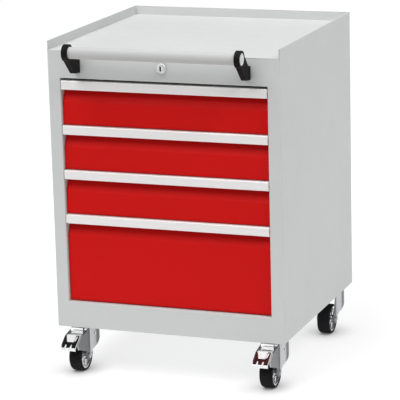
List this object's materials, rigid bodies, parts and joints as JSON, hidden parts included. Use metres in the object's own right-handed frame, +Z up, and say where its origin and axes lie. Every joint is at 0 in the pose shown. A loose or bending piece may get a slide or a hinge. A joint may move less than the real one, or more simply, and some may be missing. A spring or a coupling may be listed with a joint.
{
  "type": "mobile drawer cabinet",
  "caption": "Wheeled sheet-steel drawer cabinet with a rimmed top tray, red drawers with full-width grips, a central lock, a push handle and braked casters.",
  "frame": {"origin": "on the floor, under the middle of the whole cabinet's box, handle included", "axes": "+Z up, +Y from the drawer fronts to the back, +X to the right as seen from the front"},
  "size_m": [0.578, 0.638, 0.82],
  "materials": {
    "housing_paint": "light grey powder coat with a fine texture",
    "tray_paint": "light grey powder coat with a fine texture",
    "red_paint": "red powder coat, satin",
    "box_paint": "light grey powder coat",
    "grip_alloy": "satin anodised, drawn along its length",
    "tube_alloy": "satin anodised",
    "zinc_steel": "bright zinc plating",
    "chrome": "bright chrome plating",
    "hub_alloy": "turned and polished",
    "black_plastic": "moulded with a fine grain",
    "plug_plastic": "moulded, light grey",
    "tyre": "black rubber"
  },
  "bodies": {
    "cabinet": {"left_side_panel": "housing_paint", "right_side_panel": "housing_paint", "rear_panel": "housing_paint", "top_tray": "tray_paint", "front_top_rail": "housing_paint", "front_bottom_rail": "housing_paint", "bottom_panel": "housing_paint", "runner_uprights": "zinc_steel", "cabinet_rails": "zinc_steel", "handle_tube": "tube_alloy", "handle_bracket_left": "black_plastic", "handle_bracket_right": "black_plastic", "handle_end_plugs": "plug_plastic", "handle_bolts": "zinc_steel", "lock_barrel": "chrome", "lock_guides": "zinc_steel", "caster_top_plates": "chrome", "caster_bolts": "zinc_steel"},
    "drawer_1": {"drawer_1_front": "red_paint", "drawer_1_grip": "grip_alloy", "drawer_1_box": "box_paint", "drawer_1_rails": "zinc_steel"},
    "drawer_1_middle": {"drawer_1_middle_rails": "zinc_steel"},
    "drawer_2": {"drawer_2_front": "red_paint", "drawer_2_grip": "grip_alloy", "drawer_2_box": "box_paint", "drawer_2_rails": "zinc_steel"},
    "drawer_2_middle": {"drawer_2_middle_rails": "zinc_steel"},
    "drawer_3": {"drawer_3_front": "red_paint", "drawer_3_grip": "grip_alloy", "drawer_3_box": "box_paint", "drawer_3_rails": "zinc_steel"},
    "drawer_3_middle": {"drawer_3_middle_rails": "zinc_steel"},
    "drawer_4": {"drawer_4_front": "red_paint", "drawer_4_grip": "grip_alloy", "drawer_4_box": "box_paint", "drawer_4_rails": "zinc_steel"},
    "drawer_4_middle": {"drawer_4_middle_rails": "zinc_steel"},
    "lock_plug": {"lock_plug": "chrome", "lock_cam": "zinc_steel"},
    "lock_link": {"lock_link": "zinc_steel"},
    "lock_bar": {"lock_bar": "zinc_steel"},
    "front_left_fork": {"front_left_fork": "chrome", "front_left_axle": "zinc_steel"},
    "front_left_wheel": {"front_left_hub": "hub_alloy", "front_left_tyre": "tyre"},
    "front_left_pedal": {"front_left_pedal": "chrome"},
    "front_right_fork": {"front_right_fork": "chrome", "front_right_axle": "zinc_steel"},
    "front_right_wheel": {"front_right_hub": "hub_alloy", "front_right_tyre": "tyre"},
    "front_right_pedal": {"front_right_pedal": "chrome"},
    "rear_left_fork": {"rear_left_fork": "chrome", "rear_left_axle": "zinc_steel"},
    "rear_left_wheel": {"rear_left_hub": "hub_alloy", "rear_left_tyre": "tyre"},
    "rear_right_fork": {"rear_right_fork": "chrome", "rear_right_axle": "zinc_steel"},
    "rear_right_wheel": {"rear_right_hub": "hub_alloy", "rear_right_tyre": "tyre"}
  },
  "joints": [
    {"name": "drawer_1_slide", "type": "slide", "parent": "cabinet", "child": "drawer_1", "axis": [0, -1, 0], "range_m": [0, 0.4]},
    {"name": "drawer_1_middle_slide", "type": "slide", "parent": "cabinet", "child": "drawer_1_middle", "axis": [0, -1, 0], "range_m": [0, 0.2]},
    {"name": "drawer_2_slide", "type": "slide", "parent": "cabinet", "child": "drawer_2", "axis": [0, -1, 0], "range_m": [0, 0.4]},
    {"name": "drawer_2_middle_slide", "type": "slide", "parent": "cabinet", "child": "drawer_2_middle", "axis": [0, -1, 0], "range_m": [0, 0.2]},
    {"name": "drawer_3_slide", "type": "slide", "parent": "cabinet", "child": "drawer_3", "axis": [0, -1, 0], "range_m": [0, 0.4]},
    {"name": "drawer_3_middle_slide", "type": "slide", "parent": "cabinet", "child": "drawer_3_middle", "axis": [0, -1, 0], "range_m": [0, 0.2]},
    {"name": "drawer_4_slide", "type": "slide", "parent": "cabinet", "child": "drawer_4", "axis": [0, -1, 0], "range_m": [0, 0.4]},
    {"name": "drawer_4_middle_slide", "type": "slide", "parent": "cabinet", "child": "drawer_4_middle", "axis": [0, -1, 0], "range_m": [0, 0.2]},
    {"name": "lock_turn", "type": "hinge", "parent": "cabinet", "child": "lock_plug", "pos_m": [0, -0.241, 0.761], "axis": [0, 1, 0], "range_deg": [0, 90]},
    {"name": "lock_link_slide", "type": "slide", "parent": "cabinet", "child": "lock_link", "axis": [1, 0, 0], "range_m": [0, 0.01697]},
    {"name": "lock_bar_slide", "type": "slide", "parent": "cabinet", "child": "lock_bar", "axis": [0, 0, -1], "range_m": [0, 0.01697]},
    {"name": "front_left_swivel", "type": "hinge", "parent": "cabinet", "child": "front_left_fork", "pos_m": [-0.244, -0.18, 0.116], "axis": [0, 0, 1], "continuous": true},
    {"name": "front_left_roll", "type": "hinge", "parent": "front_left_fork", "child": "front_left_wheel", "pos_m": [-0.244, -0.214, 0.0375], "axis": [1, 0, 0], "continuous": true},
    {"name": "front_left_brake", "type": "hinge", "parent": "front_left_fork", "child": "front_left_pedal", "pos_m": [-0.244, -0.194, 0.089], "axis": [1, 0, 0], "range_deg": [0, 6]},
    {"name": "front_right_swivel", "type": "hinge", "parent": "cabinet", "child": "front_right_fork", "pos_m": [0.244, -0.18, 0.116], "axis": [0, 0, 1], "continuous": true},
    {"name": "front_right_roll", "type": "hinge", "parent": "front_right_fork", "child": "front_right_wheel", "pos_m": [0.244, -0.214, 0.0375], "axis": [1, 0, 0], "continuous": true},
    {"name": "front_right_brake", "type": "hinge", "parent": "front_right_fork", "child": "front_right_pedal", "pos_m": [0.244, -0.194, 0.089], "axis": [1, 0, 0], "range_deg": [0, 6]},
    {"name": "rear_left_swivel", "type": "hinge", "parent": "cabinet", "child": "rear_left_fork", "pos_m": [-0.244, 0.276, 0.116], "axis": [0, 0, 1], "continuous": true},
    {"name": "rear_left_roll", "type": "hinge", "parent": "rear_left_fork", "child": "rear_left_wheel", "pos_m": [-0.244, 0.242, 0.0375], "axis": [1, 0, 0], "continuous": true},
    {"name": "rear_right_swivel", "type": "hinge", "parent": "cabinet", "child": "rear_right_fork", "pos_m": [0.244, 0.276, 0.116], "axis": [0, 0, 1], "continuous": true},
    {"name": "rear_right_roll", "type": "hinge", "parent": "rear_right_fork", "child": "rear_right_wheel", "pos_m": [0.244, 0.242, 0.0375], "axis": [1, 0, 0], "continuous": true}
  ],
  "couplings": [
    {"joint": "drawer_1_middle_slide", "follows": "drawer_1_slide", "ratio": 0.5},
    {"joint": "drawer_2_middle_slide", "follows": "drawer_2_slide", "ratio": 0.5},
    {"joint": "drawer_3_middle_slide", "follows": "drawer_3_slide", "ratio": 0.5},
    {"joint": "drawer_4_middle_slide", "follows": "drawer_4_slide", "ratio": 0.5},
    {"joint": "lock_turn", "follows": "lock_bar_slide", "rad_per_m": 92.5},
    {"joint": "lock_link_slide", "follows": "lock_bar_slide", "ratio": 1}
  ]
}
